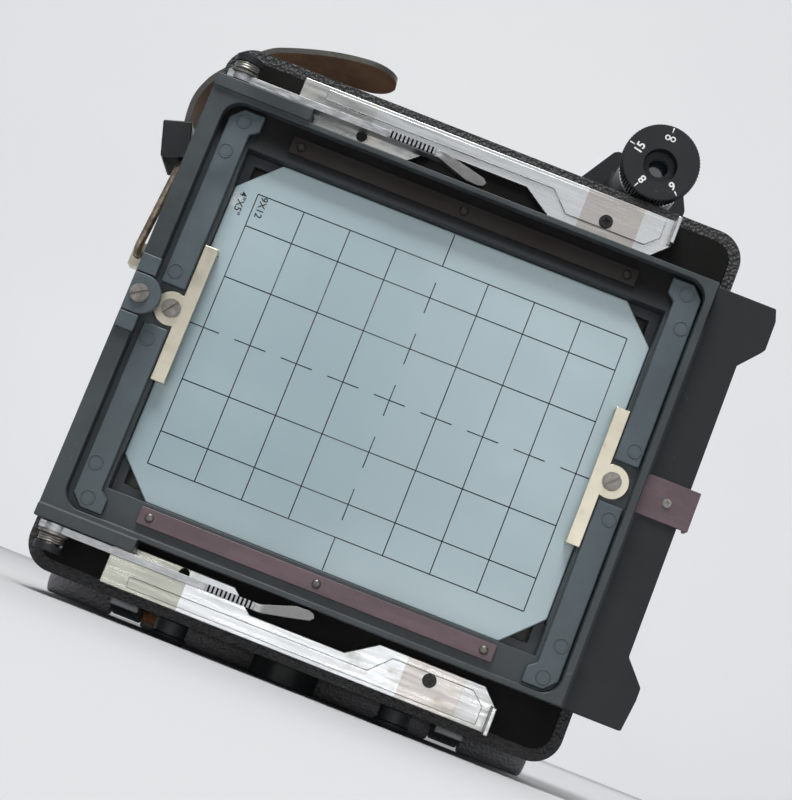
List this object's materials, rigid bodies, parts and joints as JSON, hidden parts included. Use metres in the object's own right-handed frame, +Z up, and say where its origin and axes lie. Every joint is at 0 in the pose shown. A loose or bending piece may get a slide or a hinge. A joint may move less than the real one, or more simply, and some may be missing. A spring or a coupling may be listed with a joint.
{
  "type": "large format view camera",
  "caption": "Folding press camera with ground-glass spring back, locking slides, drop bed, bellows front standard, tube finder and hand strap, shown closed.",
  "frame": {"origin": "mouth of the tripod socket, on the plane that the closed camera stands on", "axes": "+Z up, +Y towards the lens side, -Y the ground-glass back, +X to the viewer's right"},
  "size_m": [0.2005, 0.0988, 0.205],
  "materials": {
    "black_leather": "pebbled, semi-matt, worn at the edges",
    "wood_shell": "stained black",
    "black_metal": "fine matt black enamel",
    "panel_metal": "satin charcoal, bare at a few corners",
    "moulded_grey": "satin moulded grey-black",
    "bright_steel": "brushed, light wear",
    "steel_screws": "darkened",
    "nickel": "warm satin nickel",
    "plum_anodised": "purple-brown anodised, satin",
    "ground_glass": "ground, grey-blue, with black ruled lines",
    "clear_glass": "polished",
    "grey_metal": "satin grey",
    "bellows_cloth": "matt folded cloth",
    "strap_leather": "black outside, brown suede inside, scuffed"
  },
  "bodies": {
    "camera_body": {"body_shell": "wood_shell", "body_leather": "black_leather", "back_plate": "black_metal", "tripod_socket": "grey_metal", "base_feet": "black_metal", "body_tracks": "grey_metal", "release_collar": "black_metal", "hinge_pin": "bright_steel", "hinge_knuckles": "grey_metal", "bellows": "bellows_cloth", "bellows_frame": "black_metal", "slide_keepers": "bright_steel", "keeper_screws": "black_metal", "finder_ring": "black_metal", "eye_lens": "clear_glass", "finder_collar": "bright_steel", "finder_tube": "black_metal", "finder_hood": "black_metal", "finder_window": "clear_glass", "hand_strap": "strap_leather", "strap_keeper": "black_metal", "strap_lug": "bright_steel", "strap_loop": "bright_steel"},
    "bed": {"bed_board": "wood_shell", "bed_leather": "black_leather", "bed_barrel": "black_leather", "bed_rails": "grey_metal", "focus_bearings": "grey_metal"},
    "track": {"focus_track": "grey_metal"},
    "focus_knob": {"focus_shaft": "bright_steel", "focus_knobs": "grey_metal"},
    "front_standard": {"standard_foot": "black_metal", "standard_frame": "black_metal", "lens_board": "black_metal", "shutter_case": "black_metal", "lens_barrel": "bright_steel", "front_lens": "clear_glass", "rear_lens": "clear_glass"},
    "speed_ring": {"speed_ring": "bright_steel"},
    "cocking_lever": {"cocking_lever": "bright_steel"},
    "focusing_panel": {"panel_frame": "panel_metal", "ground_glass": "ground_glass", "carrier_pads": "moulded_grey", "glass_strips": "plum_anodised", "strip_rivets": "bright_steel", "glass_clips": "nickel", "clip_screws": "steel_screws", "hood_catch": "plum_anodised", "catch_screw": "bright_steel", "hood_lug": "moulded_grey", "lug_screw": "steel_screws", "arm_pivots": "bright_steel", "arm_bushes": "steel_screws"},
    "upper_arm": {"upper_arm": "bright_steel"},
    "lower_arm": {"lower_arm": "bright_steel"},
    "upper_slide": {"upper_slide": "bright_steel"},
    "lower_slide": {"lower_slide": "bright_steel"},
    "finder_dial": {"finder_dial": "black_metal"},
    "release_button": {"release_button": "bright_steel"}
  },
  "joints": [
    {"name": "bed_drop", "type": "hinge", "parent": "camera_body", "child": "bed", "pos_m": [0, 0.033, 0.0075], "axis": [-1, 0, 0], "range_deg": [0, 90]},
    {"name": "standard_slide", "type": "slide", "parent": "camera_body", "child": "front_standard", "axis": [0, 1, 0], "range_m": [0, 0.0415], "deforming": ["bellows"]},
    {"name": "focus_turn", "type": "hinge", "parent": "bed", "child": "focus_knob", "pos_m": [0, 0.021, 0.0425], "axis": [1, 0, 0], "range_deg": [0, 355]},
    {"name": "track_slide", "type": "slide", "parent": "bed", "child": "track", "axis": [0, 0, 1], "range_m": [0, 0.025]},
    {"name": "speed_ring_turn", "type": "hinge", "parent": "front_standard", "child": "speed_ring", "pos_m": [0, 0.014, 0.091], "axis": [0, 1, 0], "range_deg": [0, 150]},
    {"name": "shutter_cock", "type": "hinge", "parent": "front_standard", "child": "cocking_lever", "pos_m": [0, 0.0035, 0.091], "axis": [0, 1, 0], "range_deg": [0, 25], "stiffness_Nm_per_rad": 0.01, "springref_deg": -17.19},
    {"name": "panel_lift", "type": "slide", "parent": "camera_body", "child": "focusing_panel", "axis": [0, -1, 0], "range_m": [0, 0.0075], "stiffness_N_per_m": 800, "springref_m": -0.008},
    {"name": "upper_arm_swing", "type": "hinge", "parent": "focusing_panel", "child": "upper_arm", "pos_m": [-0.0769, -0.052, 0.1645], "axis": [0, 0, 1], "range_deg": [0, 5.6]},
    {"name": "lower_arm_swing", "type": "hinge", "parent": "focusing_panel", "child": "lower_arm", "pos_m": [-0.0769, -0.052, 0.0195], "axis": [0, 0, 1], "range_deg": [0, 5.6]},
    {"name": "upper_slide_lock", "type": "slide", "parent": "camera_body", "child": "upper_slide", "axis": [1, 0, 0], "range_m": [0, 0.008]},
    {"name": "lower_slide_lock", "type": "slide", "parent": "camera_body", "child": "lower_slide", "axis": [1, 0, 0], "range_m": [0, 0.008]},
    {"name": "parallax_dial", "type": "hinge", "parent": "camera_body", "child": "finder_dial", "pos_m": [0.0507, -0.043, 0.1904], "axis": [0, 1, 0], "range_deg": [0, 224]},
    {"name": "bed_button", "type": "slide", "parent": "camera_body", "child": "release_button", "axis": [0, 0, -1], "range_m": [0, 0.0012], "stiffness_N_per_m": 400, "springref_m": -0.001}
  ],
  "couplings": [
    {"joint": "standard_slide", "follows": "bed_drop", "m_per_rad": 0.026},
    {"joint": "track_slide", "follows": "focus_turn", "m_per_rad": 0.00395},
    {"joint": "upper_arm_swing", "follows": "panel_lift", "rad_per_m": 12.8},
    {"joint": "lower_arm_swing", "follows": "panel_lift", "rad_per_m": 12.8}
  ]
}
